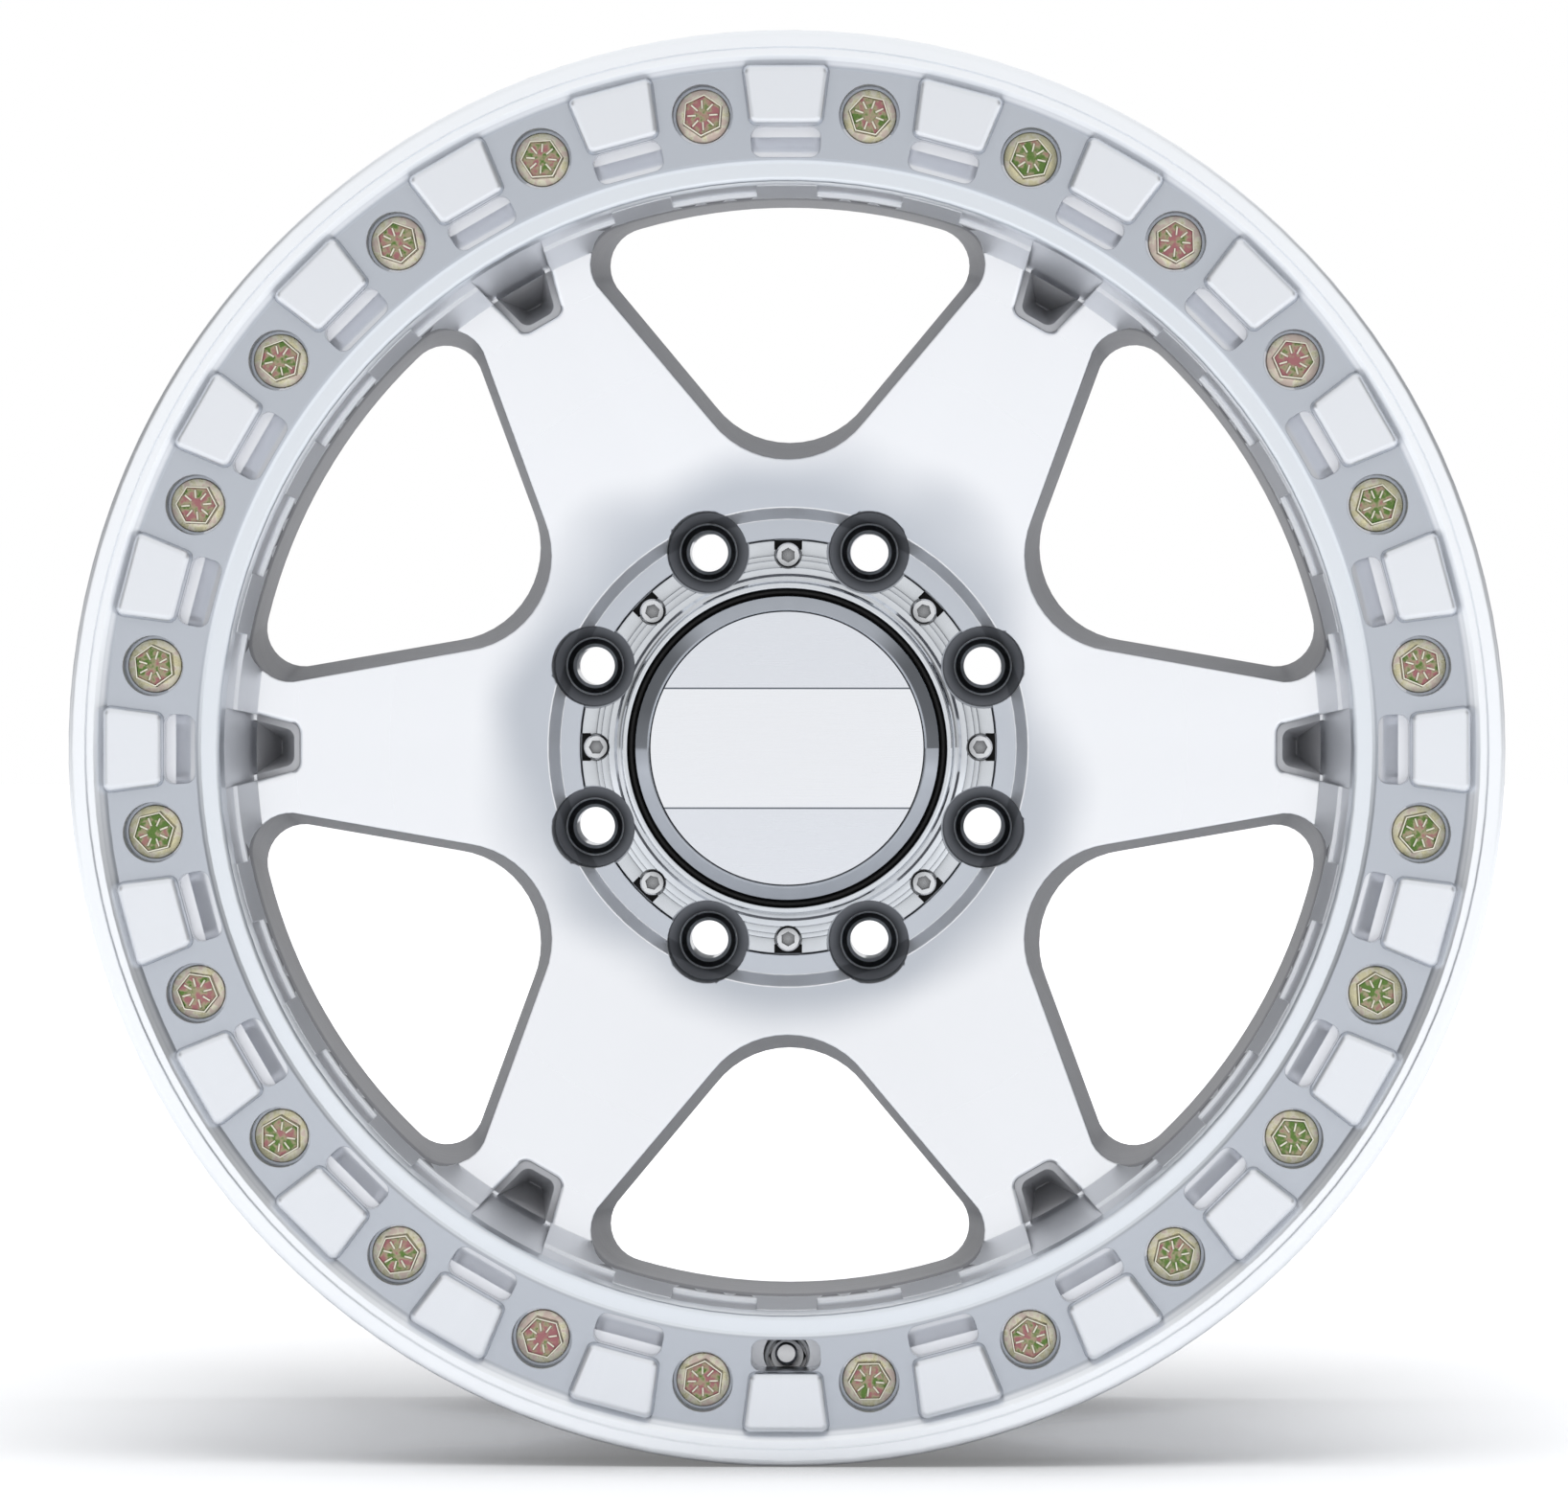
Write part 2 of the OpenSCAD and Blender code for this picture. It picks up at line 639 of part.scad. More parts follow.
// Bolt-on collar of the cap, with a foot at each screw
module cap_collar() {
    color("silver")
        upright()
            difference() {
                rotate_extrude()
                    polygon(collar_section());
                scallops();
                ring_of(screw_count, 0) {
                    translate([screw_r, 0, cap_base_z + 2.6])
                        cylinder(h = 20, d = foot_slot_w, $fn = 48);
                    translate([screw_r, 0, cap_base_z - 1])
                        cylinder(h = 20, d = screw_d + 0.6, $fn = 32);
                    translate([screw_r + 2.2, -foot_slot_w / 2, cap_base_z - 1])
                        cube([20, foot_slot_w, 20]);
                }
            }
}

// Black gasket between the collar's feet and the hub, flush with the centre bore
module cap_gasket() {
    color("black")
        upright()
            difference() {
                translate([0, 0, cap_seat_h])
                    cylinder(h = gasket_t, d = cap_foot_d - 0.4);
                cylinder(h = 2 * cap_base_z, d = centre_bore_d);
                scallops();
                ring_of(screw_count, 0)
                    translate([screw_r, 0, 0])
                        cylinder(h = 2 * cap_base_z, d = screw_d + 0.6, $fn = 32);
            }
}

// Socket head screws that hold the cap
module cap_screws() {
    color("silver")
        upright()
            ring_of(screw_count, 0)
                translate([screw_r, 0, cap_base_z + 2.6])
                    difference() {
                        union() {
                            translate([0, 0, -screw_len])
                                cylinder(h = screw_len + eps, d = screw_d, $fn = 32);
                            cylinder(h = 4.6, d = screw_head_d, $fn = 48);
                            translate([0, 0, 4.6])
                                cylinder(h = 0.6, d1 = screw_head_d, d2 = screw_head_d - 1.2, $fn = 48);
                        }
                        translate([0, 0, 2.4])
                            cylinder(h = 10, r = 5 / 2 / cos(30), $fn = 6);
                    }
}

// Half section of the cap's insert
function insert_section() = concat(
    [[0, plate_seat_z - 2.4], [leg_r - leg_t - 0.9, plate_seat_z - 2.4], [leg_r - leg_t - 0.9, ledge_z]],
    [[insert_r - 0.2, ledge_z]],
    arc([insert_r - 1.5, collar_top_z - 0.8], 1.5, 0, 45, 4),
    arc([plate_d / 2 + 1.1, insert_top_z - 0.7], 0.7, 70, 180, 4),
    [[plate_d / 2 + 0.2, plate_seat_z], [0, plate_seat_z]]
);

// Domed insert that carries the face plate, with legs that hook under the collar
module cap_insert() {
    color("silver")
        upright() {
            rotate_extrude()
                polygon(insert_section());
            ring_of(6, 30)
                rotate([0, 0, -5])
                    rotate_extrude(angle = 10)
                        polygon([
                            [leg_r - leg_t, ledge_z + 1], [leg_r, ledge_z + 1], [leg_r, ledge_z - 2.6],
                            [leg_r + 1.2, ledge_z - 2.8], [leg_r - 0.4, ledge_z - 5], [leg_r - leg_t, ledge_z - 5]
                        ]);
        }
}

// Black ring that fills the groove between insert and collar
module cap_seal() {
    mid_r = (insert_r + collar_in_r) / 2;
    wire_r = (collar_in_r - insert_r) / 2;
    color("black")
        upright()
            rotate_extrude()
                translate([mid_r, ledge_z + wire_r])
                    circle(wire_r, $fn = 32);
}

// Plain face plate with two engraved lines
module cap_plate() {
    color("whitesmoke")
        upright()
            difference() {
                translate([0, 0, plate_seat_z])
                    cylinder(h = plate_t, d = plate_d, $fn = 128);
                for (y = [-line_y, line_y])
                    translate([-plate_d, y - line_w / 2, plate_seat_z + plate_t - 0.3])
                        cube([2 * plate_d, line_w, 1]);
            }
}

// Brass valve stem with its foot flange on the tyre side
module valve_stem() {
    color("silver")
        upright()
            at_valve()
                rotate_extrude()
                    polygon([
                        [core_r + 0.1, stem_h], [stem_r - 0.4, stem_h], [stem_r, stem_h - 0.6],
                        [stem_r, -0.6], [7, -2.6], [7, -4.6], [1.9, -4.6],
                        [1.9, core_top - 15], [core_r + 0.1, core_top - 14]
                    ]);
}

// Rubber grommet between the stem's flange and the wheel
module valve_grommet() {
    hole_r = valve_hole_d / 2 - 0.1;
    color("black")
        upright()
            at_valve()
                rotate_extrude()
                    polygon([
                        [stem_r + 0.05, -0.55], [7.05, -2.55], [8.6, -2.2], [8.6, 0.35],
                        [hole_r, 0.35], [hole_r, valve_wall + 0.35], [stem_r + 0.05, valve_wall + 0.35]
                    ]);
}

// Washer on the recess floor
module valve_washer() {
    color("silver")
        upright()
            at_valve()
                translate([0, 0, valve_wall + 0.4])
                    difference() {
                        cylinder(h = 1.4, d = valve_nut_af + 2.6);
                        translate([0, 0, -1])
                            cylinder(h = 4, r = stem_r + 0.15);
                    }
}

// Hexagon nut that clamps the valve
module valve_nut() {
    nut_h = 6;
    color("silver")
        upright()
            at_valve()
                translate([0, 0, valve_wall + 1.8])
                    difference() {
                        intersection() {
                            cylinder(h = nut_h, r = valve_nut_af / 2 / cos(30), $fn = 6);
                            cylinder(h = nut_h, r1 = valve_nut_af, r2 = valve_nut_af / 2);
                        }
                        translate([0, 0, -1])
                            cylinder(h = nut_h + 2, r = stem_r + 0.1);
                    }
}

// Threaded body of the valve core, with a slotted head
module valve_core() {
    color("goldenrod")
        upright()
            at_valve()
                difference() {
                    rotate_extrude()
                        polygon([
                            [1.1, core_top], [1.7, core_top], [1.7, core_top - 2], [core_r, core_top - 2],
                            [core_r, core_top - 6], [1.8, core_top - 6.6], [1.8, core_top - 11],
                            [1.1, core_top - 11]
                        ]);
                    translate([-0.4, -5, core_top - 1])
                        cube([0.8, 10, 3]);
                }
}

// Rubber collar that seals the core in the stem
module valve_core_seal() {
    color("crimson")
        upright()
            at_valve()
                translate([0, 0, core_top - 10])
                    difference() {
                        cylinder(h = 2.6, r = core_r, $fn = 48);
                        translate([0, 0, -1])
                            cylinder(h = 5, r = 1.85, $fn = 48);
                    }
}

// Pin that opens the valve when it is pressed
module valve_pin() {
    color("goldenrod")
        upright()
            at_valve() {
                translate([0, 0, core_top - 16])
                    cylinder(h = 16.2, r = pin_r, $fn = 24);
                translate([0, 0, core_top - 16])
                    cylinder(h = 0.8, r = 1.3, $fn = 24);
            }
}

// Rubber cup on the pin's foot that closes the core
module valve_pin_cup() {
    color("crimson")
        upright()
            at_valve()
                translate([0, 0, core_top - 12.8])
                    difference() {
                        cylinder(h = 1.5, r = 1.6, $fn = 32);
                        translate([0, 0, -1])
                            cylinder(h = 4, r = pin_r, $fn = 24);
                    }
}

// Coil spring round the pin, drawn as closed turns
module valve_spring() {
    color("gray")
        upright()
            at_valve()
                for (k = [0:5])
                    translate([0, 0, core_top - 9.4 + k * 1.2])
                        rotate_extrude($fn = 32)
                            translate([0.92, 0])
                                circle(0.1, $fn = 16);
}

// Knurled cap over the stem's mouth
module valve_cap() {
    top_z = stem_h + 2.4;
    color("silver")
        upright()
            at_valve()
                difference() {
                    union() {
                        translate([0, 0, top_z - valve_cap_len])
                            cylinder(h = valve_cap_len - 1, d = valve_cap_d);
                        translate([0, 0, top_z - 1])
                            cylinder(h = 1, d1 = valve_cap_d, d2 = valve_cap_d - 2);
                    }
                    translate([0, 0, top_z - valve_cap_len - 1])
                        cylinder(h = valve_cap_len - 0.4, r = stem_r + 0.15);
                }
}

// Rubber disc inside the valve cap
module valve_cap_seal() {
    color("black")
        upright()
            at_valve()
                translate([0, 0, stem_h + 0.3])
                    cylinder(h = 0.5, r = stem_r, $fn = 48);
}

wheel_body();
clamp_ring();
clamp_bolts();
thread_inserts();
cap_collar();
cap_gasket();
cap_screws();
cap_insert();
cap_seal();
cap_plate();
valve_stem();
valve_grommet();
valve_washer();
valve_nut();
valve_core();
valve_core_seal();
valve_pin();
valve_pin_cup();
valve_spring();
valve_cap();
valve_cap_seal();
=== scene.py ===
# Beadlock wheel: finishes, rounded edges, bolts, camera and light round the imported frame.
import math

import bmesh
import bpy
from mathutils import Matrix, Vector


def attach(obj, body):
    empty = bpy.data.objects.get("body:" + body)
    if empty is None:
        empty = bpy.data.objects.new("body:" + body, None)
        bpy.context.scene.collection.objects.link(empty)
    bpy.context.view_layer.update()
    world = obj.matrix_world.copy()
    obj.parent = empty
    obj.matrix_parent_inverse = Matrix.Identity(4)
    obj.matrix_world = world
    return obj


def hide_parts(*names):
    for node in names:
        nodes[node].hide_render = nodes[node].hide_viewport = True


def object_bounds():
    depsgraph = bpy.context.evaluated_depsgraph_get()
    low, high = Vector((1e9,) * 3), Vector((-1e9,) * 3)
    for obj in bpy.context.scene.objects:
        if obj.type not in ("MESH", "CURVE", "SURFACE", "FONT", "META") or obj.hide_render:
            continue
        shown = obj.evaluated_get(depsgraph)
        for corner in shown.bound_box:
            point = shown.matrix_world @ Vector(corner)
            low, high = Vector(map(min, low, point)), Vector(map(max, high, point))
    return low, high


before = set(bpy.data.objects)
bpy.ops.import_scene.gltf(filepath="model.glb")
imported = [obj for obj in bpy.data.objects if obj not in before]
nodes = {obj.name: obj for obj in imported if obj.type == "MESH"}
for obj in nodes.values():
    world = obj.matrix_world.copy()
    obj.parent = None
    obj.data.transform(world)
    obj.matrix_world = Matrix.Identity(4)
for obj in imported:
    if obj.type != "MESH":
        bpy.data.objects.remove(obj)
cadLow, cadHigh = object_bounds()
print("frame loaded")

mm = 0.001
fullTurn = 2 * math.pi
spokeCount = 6
lugCount = 8
boltCount = 24                  # clamp bolts, with as many pads between them
weldDistance = 0.001 * mm
smallEdge = 0.3 * mm            # broken edges of the small pieces

# the camera stands a little right of the axle and above it, as in the photograph
photo = {
    "width": 1636,              # size of the photograph in pixels
    "height": 1576,
    "ringCentre": (819.7, 782.3),   # where the clamp ring's centre lies in it
    "pixelSize": 0.3671 * mm,   # size of a pixel at the ring's front plane
    "distance": 2800 * mm,      # from the camera to that plane
    "ringFront": 112 * mm,      # height of that plane over the hub pad
    "turn": 1.0,                # degrees to the right and up
    "sensor": 36,
}


def placeCamera(photo):
    turn = math.radians(photo["turn"])
    back = Vector((math.sin(turn) * math.cos(turn), -math.cos(turn) ** 2, math.sin(turn)))
    aim = Vector((
        -(photo["ringCentre"][0] - photo["width"] / 2) * photo["pixelSize"],
        -photo["ringFront"],
        -(photo["height"] / 2 - photo["ringCentre"][1]) * photo["pixelSize"],
    ))
    data = bpy.data.cameras.new("camera")
    data.sensor_width = photo["sensor"]
    data.lens = photo["sensor"] * photo["distance"] / photo["pixelSize"] / photo["width"]
    data.clip_start, data.clip_end = 0.05, 60
    camera = bpy.data.objects.new("camera", data)
    camera.location = aim + back * photo["distance"]
    camera.rotation_mode = "QUATERNION"
    camera.rotation_quaternion = (-back).to_track_quat("-Z", "Y")
    bpy.context.scene.collection.objects.link(camera)
    bpy.context.scene.camera = camera


placeCamera(photo)
print("camera placed")


def toLinear(code):
    channels = [int(code[i:i + 2], 16) / 255 for i in (1, 3, 5)]
    return [c / 12.92 if c <= 0.04045 else ((c + 0.055) / 1.055) ** 2.4 for c in channels] + [1.0]


# adds one node, sets it up, feeds its inputs by place or by name and gives back one output
def addNode(tree, kind, inputs=(), output=0, **settings):
    node = tree.nodes.new("ShaderNode" + kind)
    for name, value in settings.items():
        setattr(node, name, value)
    for name, value in inputs.items() if isinstance(inputs, dict) else enumerate(inputs):
        if isinstance(value, bpy.types.NodeSocket):
            tree.links.new(value, node.inputs[name])
        else:
            node.inputs[name].default_value = value
    return node.outputs[output] if node.outputs else node


def startMaterial(name):
    material = bpy.data.materials.new(name)
    material.use_nodes = True
    material.node_tree.nodes.clear()
    return material, material.node_tree


def endMaterial(tree, inputs):
    surface = addNode(tree, "BsdfPrincipled", inputs)
    addNode(tree, "OutputMaterial", (surface,))


# places measured on the wheel: radius from the axle, height over the hub pad, angle round it
def wheelPlaces(tree):
    point = addNode(tree, "TexCoord", output="Object")
    flat = addNode(tree, "VectorMath", (point, (1, 0, 1)), operation="MULTIPLY")
    x = addNode(tree, "SeparateXYZ", (point,))
    y, z = x.node.outputs[1], x.node.outputs[2]
    return {
        "point": point,
        "radius": addNode(tree, "VectorMath", (flat,), "Value", operation="LENGTH"),
        "height": addNode(tree, "Math", (y, -1.0), operation="MULTIPLY"),
        "angle": addNode(tree, "Math", (z, x), operation="ARCTAN2"),
        "offMiddle": addNode(tree, "Math", (z,), operation="ABSOLUTE"),
        "roundAxle": addNode(tree, "VectorMath", ((0, 1, 0), flat), operation="CROSS_PRODUCT"),
    }


# distance from the nearest of some axes on a circle round the wheel's, and distance sideways
# from that axis; the first axis lies at start, in degrees
def fromNearest(tree, places, count, start, circle):
    turns = (places["angle"], count / fullTurn, -start / 360 * count)
    turns = addNode(tree, "Math", turns, operation="MULTIPLY_ADD")
    folded = addNode(tree, "Math", (turns, 0.5), operation="PINGPONG")
    turn = addNode(tree, "Math", (folded, fullTurn / count), operation="MULTIPLY")
    along = addNode(tree, "Math", (turn,), operation="COSINE")
    along = addNode(tree, "Math", (along, places["radius"], -circle), operation="MULTIPLY_ADD")
    across = addNode(tree, "Math", (turn,), operation="SINE")
    across = addNode(tree, "Math", (across, places["radius"]), operation="MULTIPLY")
    place = addNode(tree, "CombineXYZ", (across, along, 0.0))
    return addNode(tree, "VectorMath", (place,), "Value", operation="LENGTH"), across


# how far a measure is from one value, to either side
def awayFrom(tree, measure, value):
    away = addNode(tree, "Math", (measure, value), operation="SUBTRACT")
    return addNode(tree, "Math", (away,), operation="ABSOLUTE")


# lays regions over a colour, in their order; a region is a colour and its limits, and a limit
# is the name of a measure, where the region starts and where it is whole
def layRegions(tree, places, colour, regions):
    masks = {}
    for name, (ownColour, *limits) in regions.items():
        mask = 1.0
        for measure, start, whole in limits:
            within = addNode(tree, "MapRange", (places[measure], start, whole))
            mask = addNode(tree, "Math", (within, mask), operation="MULTIPLY")
        colour = addNode(tree, "Mix", {0: mask, 6: colour, 7: toLinear(ownColour)}, 2, data_type="RGBA")
        masks[name] = mask
    return colour, masks


# paints shade into a colour: darkens it in corners and hollows, where other metal stands closer than the reach
def shadeHollows(tree, colour, reach, darkest):
    openness = addNode(tree, "AmbientOcclusion", {"Distance": reach}, "AO", samples=6)
    openness = addNode(tree, "MapRange", (openness, 0.25, 0.95, darkest, 1.0))
    mixed = {0: 1.0, 6: colour, 7: openness}
    return addNode(tree, "Mix", mixed, 2, data_type="RGBA", blend_type="MULTIPLY")


# uneven rings that a lathe leaves round the axle, on flat faces and on upright walls
def latheRings(tree, places, pitch):
    along = addNode(tree, "Math", (places["height"], 0.6, places["radius"]), operation="MULTIPLY_ADD")
    along = addNode(tree, "Math", (along, pitch), operation="DIVIDE")
    rings = addNode(tree, "CombineXYZ", (along, 0.37, 0.71))
    return addNode(tree, "TexNoise", {"Vector": rings, "Scale": 1.0, "Detail": 3.0})


# bumps of a depth in metres, on a surface whose edges look broken
def bumpOver(tree, depth, edge):
    edges = addNode(tree, "Bevel", {"Radius": edge}, samples=3)
    return addNode(tree, "Bump", {"Height": depth, "Distance": 1.0, "Strength": 1.0, "Normal": edges})


# A356 aluminium, sand grained and grey where it is as cast, bright and ringed where it is turned
castWheel = {
    # the second colour is a painted reflection that greys the face near the hub
    "turned": "#EBEDF1", "paintedHubReflection": "#BCC1C9",
    "paintedReflectionEnds": (0.118, 0.148),     # radii between which the painted reflection near the hub fades out
    "paintedReflectionCloud": 14.0, "paintedReflectionDrift": 0.05,
    "regions": {                # in metres, but slope is a share: -1 looks ahead
        # the cone wall is painted a little lighter than the turned face, as painted light on a dim wall
        "paintedLightConeWall": ("#EEF0F4", ("radius", 0.2071, 0.2076), ("height", 0.0650, 0.0675)),
        "asCast": ("#8B8C91", ("slope", -0.34, -0.26), ("radius", 0.0885, 0.0895),
                   ("radius", 0.2140, 0.2132)),
        "notch": ("#B4B5B9", ("radius", 0.1878, 0.1884), ("radius", 0.2075, 0.2072),
                  ("offSpoke", 0.0150, 0.0144), ("underFace", 0.0004, 0.0030),
                  ("height", 0.0360, 0.0365)),
        # the hub step is painted lighter than the turned face, as painted light on a slope that stays dim
        "paintedLightHubStep": ("#F4F5F8", ("radius", 0.0940, 0.0937), ("radius", 0.0888, 0.0891)),
        # the lug pockets are painted: grey, then darkening inwards to black on the nut seat, as painted shade,
        # with painted highlights on the hole's edge and on the seat's rim
        "pocket": ("#6F7278", ("fromLug", 0.0162, 0.0158), ("height", 0.0540, 0.0536)),
        "pocketFloorShade": ("#2A2C30", ("fromLug", 0.0152, 0.0114), ("height", 0.0540, 0.0536)),
        "nutSeatShade": ("#2B2D31", ("fromLug", 0.0114, 0.0111), ("height", 0.0380, 0.0372)),
        "holeEdgeHighlight": ("#D9DCE0", ("fromLug", 0.0089, 0.0086), ("height", 0.0380, 0.0372)),
        "seatRim": ("#D9DCE0", ("offSeatRim", 0.0004, 0.0002), ("height", 0.0380, 0.0372)),
    },
    "faceFrom": (0.0935, 0.060), "faceTo": (0.207, 0.067),  # radius and height of the spokes' face
    "notchCircle": 0.2, "lugCircle": 0.08255, "lugStart": 22.5, "seatRim": 0.0110,
    "turnedRough": 0.30, "castRough": 0.55, "roughSpread": 0.05,
    "slopedRougher": 0.2,       # the tool leaves sloped walls a little duller
    "castMetal": 0.45,          # the casting's oxide skin scatters part of the light
    "notchSkin": 0.25,          # and more of it in the notches
    "grain": 0.8 * mm,          # size of the casting's grains
    "grainDepth": 0.09 * mm,
    "ringPitch": 1.1 * mm,      # the real feed is about 0.2 mm, too fine to show
    "ringDepth": 0.005 * mm,
    "edge": 0.6 * mm,           # broken edges
    # painted shade in corners and hollows: how far it reaches and how dark it gets
    "paintedShadeReach": 15 * mm, "paintedShadeDark": 0.85,
    "brushed": 0.3,             # how far reflections stretch across the rings
}


def castWheelMaterial(look):
    material, tree = startMaterial("castAndTurnedAluminium")
    places = wheelPlaces(tree)
    radius = places["radius"]
    normal = addNode(tree, "TexCoord", output="Normal")
    places["slope"] = addNode(tree, "SeparateXYZ", (normal,), 1)
    (innerEnd, innerHeight), (outerEnd, outerHeight) = look["faceFrom"], look["faceTo"]
    face = addNode(tree, "MapRange", (radius, innerEnd, outerEnd, innerHeight, outerHeight))
    places["underFace"] = addNode(tree, "Math", (face, places["height"]), operation="SUBTRACT")
    places["offSpoke"] = fromNearest(tree, places, spokeCount, 0, look["notchCircle"])[1]
    places["fromLug"] = fromNearest(tree, places, lugCount, look["lugStart"], look["lugCircle"])[0]
    places["offSeatRim"] = awayFrom(tree, places["fromLug"], look["seatRim"])

    # painted reflection: the face greys softly towards the hub, in soft clouds
    clouds = {"Vector": places["point"], "Scale": look["paintedReflectionCloud"], "Detail": 1.0}
    clouds = addNode(tree, "TexNoise", clouds)
    clouds = addNode(tree, "Math", (clouds, look["paintedReflectionDrift"], radius), operation="MULTIPLY_ADD")
    outer = addNode(tree, "MapRange", (clouds, *look["paintedReflectionEnds"]), interpolation_type="SMOOTHSTEP")
    colour = {0: outer, 6: toLinear(look["paintedHubReflection"]), 7: toLinear(look["turned"])}
    colour = addNode(tree, "Mix", colour, 2, data_type="RGBA")
    colour, masks = layRegions(tree, places, colour, look["regions"])
    colour = shadeHollows(tree, colour, look["paintedShadeReach"], look["paintedShadeDark"])

    # grains on what is as cast, rings on the rest
    grainy = addNode(tree, "Math", (masks["asCast"], masks["notch"]), operation="MAXIMUM")
    grain = {"Vector": places["point"], "Scale": 1 / look["grain"], "Detail": 3.0}
    grain = addNode(tree, "TexNoise", grain)
    rings = latheRings(tree, places, look["ringPitch"])
    spread = addNode(tree, "MapRange", (rings, 0.0, 1.0, -look["roughSpread"], look["roughSpread"]))
    rough = addNode(tree, "MapRange", (grainy, 0.0, 1.0, look["turnedRough"], look["castRough"]))
    rough = addNode(tree, "Math", (rough, spread), operation="ADD")
    sloped = addNode(tree, "Math", (masks["paintedLightConeWall"], masks["paintedLightHubStep"]), operation="MAXIMUM")
    rough = addNode(tree, "Math", (sloped, look["slopedRougher"], rough), operation="MULTIPLY_ADD")
    skin = addNode(tree, "Math", (grainy, 1 - look["castMetal"]), operation="MULTIPLY")
    skin = addNode(tree, "Math", (masks["notch"], look["notchSkin"], skin), operation="MULTIPLY_ADD")
    metallic = addNode(tree, "Math", (1.0, skin), operation="SUBTRACT")
    ringDepth = addNode(tree, "Math", (rings, look["ringDepth"]), operation="MULTIPLY")
    grainDepth = addNode(tree, "Math", (grain, look["grainDepth"]), operation="MULTIPLY")
    depth = addNode(tree, "Mix", {0: grainy, 2: ringDepth, 3: grainDepth}, data_type="FLOAT")
    endMaterial(tree, {
        "Base Color": colour, "Metallic": metallic, "Roughness": rough, "Anisotropic": look["brushed"],
        "Normal": bumpOver(tree, depth, look["edge"]), "Tangent": places["roundAxle"],
    })
    return material


# 6061 aluminium ring, lands left satin by the lathe and pads milled across their length
clampRing = {
    "land": "#B8BDC5",
    "regions": {                # in metres
        "band": ("#DEE3E9", ("radius", 0.2262, 0.2256)),
        "pad": ("#E2E5EA", ("height", 0.1080, 0.1088), ("radius", 0.2644, 0.2636)),
        "lip": ("#F0F3F7", ("radius", 0.2636, 0.2644)),
        "pocket": ("#E3E5EA", ("height", 0.1071, 0.1062), ("radius", 0.2268, 0.2272),
                   ("radius", 0.2396, 0.2392)),
    },
    "padCircle": 0.25,
    "rough": 0.32, "roughSpread": 0.06,
    "ringPitch": 1.3 * mm, "millPitch": 0.9 * mm,   # the real marks are about 0.2 mm apart, too fine to show
    "millShare": 2.0,           # how much deeper the mill cuts than the lathe
    "markDepth": 0.005 * mm,
    "edge": 0.6 * mm,
    # painted shade in corners and hollows: how far it reaches and how dark it gets
    "paintedShadeReach": 5 * mm, "paintedShadeDark": 0.88,
    "brushed": 0.25,
}


def clampRingMaterial(look):
    material, tree = startMaterial("turnedAndMilledAluminium")
    places = wheelPlaces(tree)
    colour, masks = layRegions(tree, places, toLinear(look["land"]), look["regions"])
    colour = shadeHollows(tree, colour, look["paintedShadeReach"], look["paintedShadeDark"])

    # the mill's marks run along each pad, and the lathe's round everything else
    across = fromNearest(tree, places, boltCount, 0, look["padCircle"])[1]
    across = addNode(tree, "Math", (across, look["millPitch"]), operation="DIVIDE")
    turned = addNode(tree, "Math", (places["angle"], 3.0), operation="MULTIPLY")
    inwards = addNode(tree, "Math", (places["radius"], 30.0), operation="MULTIPLY")
    milled = addNode(tree, "CombineXYZ", (across, turned, inwards))
    milled = addNode(tree, "TexNoise", {"Vector": milled, "Scale": 1.0, "Detail": 3.0})
    milled = addNode(tree, "Math", (milled, look["millShare"]), operation="MULTIPLY")
    rings = latheRings(tree, places, look["ringPitch"])
    marks = addNode(tree, "Mix", {0: masks["pad"], 2: rings, 3: milled}, data_type="FLOAT")
    lowest, highest = look["rough"] - look["roughSpread"], look["rough"] + look["roughSpread"]
    rough = addNode(tree, "MapRange", (marks, 0.0, 1.0, lowest, highest))
    depth = addNode(tree, "Math", (marks, look["markDepth"]), operation="MULTIPLY")
    endMaterial(tree, {
        "Base Color": colour, "Metallic": 1.0, "Roughness": rough, "Anisotropic": look["brushed"],
        "Normal": bumpOver(tree, depth, look["edge"]), "Tangent": places["roundAxle"],
    })
    return material


# yellow zinc on steel: a film so thin that it drifts between straw, olive and rose on each bolt
zincFilm = {
    # the hollow colours are the same film painted darker, as painted shade in the heads' hollows
    "outside": ("#DCD5B0", "#EDE8D2", "#E6D3C6"), "hollow": ("#5F7A42", "#A39A80", "#A26F72"),
    "stops": (0.25, 0.5, 0.75),
    "cloud": 3.5 * mm,          # size of the film's patches
    "ownShare": 0.35,           # how much of the shade is each bolt's own
    "rough": (0.27, 0.40),
    # painted shade in corners and hollows: how far it reaches and how dark it gets
    "paintedShadeReach": 4 * mm, "paintedShadeDark": 0.75,
}


def zincMaterial(name, colours, look):
    material, tree = startMaterial(name)
    places = wheelPlaces(tree)
    which = addNode(tree, "Math", (places["angle"], boltCount / fullTurn), operation="MULTIPLY")
    which = addNode(tree, "Math", (which,), operation="FLOOR")
    ownShade = addNode(tree, "TexWhiteNoise", {"W": which}, noise_dimensions="1D")
    cloud = {"Vector": places["point"], "Scale": 1 / look["cloud"], "Detail": 2.0, "Roughness": 0.6}
    cloud = addNode(tree, "TexNoise", cloud)
    cloud = addNode(tree, "MapRange", (cloud, 0.35, 0.65))
    share = addNode(tree, "Mix", {0: look["ownShare"], 2: cloud, 3: ownShade}, data_type="FLOAT")
    ramp = addNode(tree, "ValToRGB", (share,))
    stops = ramp.node.color_ramp.elements
    stops.new(0.5)
    for stop, position, colour in zip(stops, look["stops"], colours):
        stop.position, stop.color = position, toLinear(colour)
    endMaterial(tree, {
        "Base Color": shadeHollows(tree, ramp, look["paintedShadeReach"], look["paintedShadeDark"]),
        "Metallic": 1.0,
        "Roughness": addNode(tree, "MapRange", (cloud, 0.0, 1.0, *look["rough"])),
        "Normal": addNode(tree, "Bevel", {"Radius": smallEdge}, samples=3),
    })
    return material
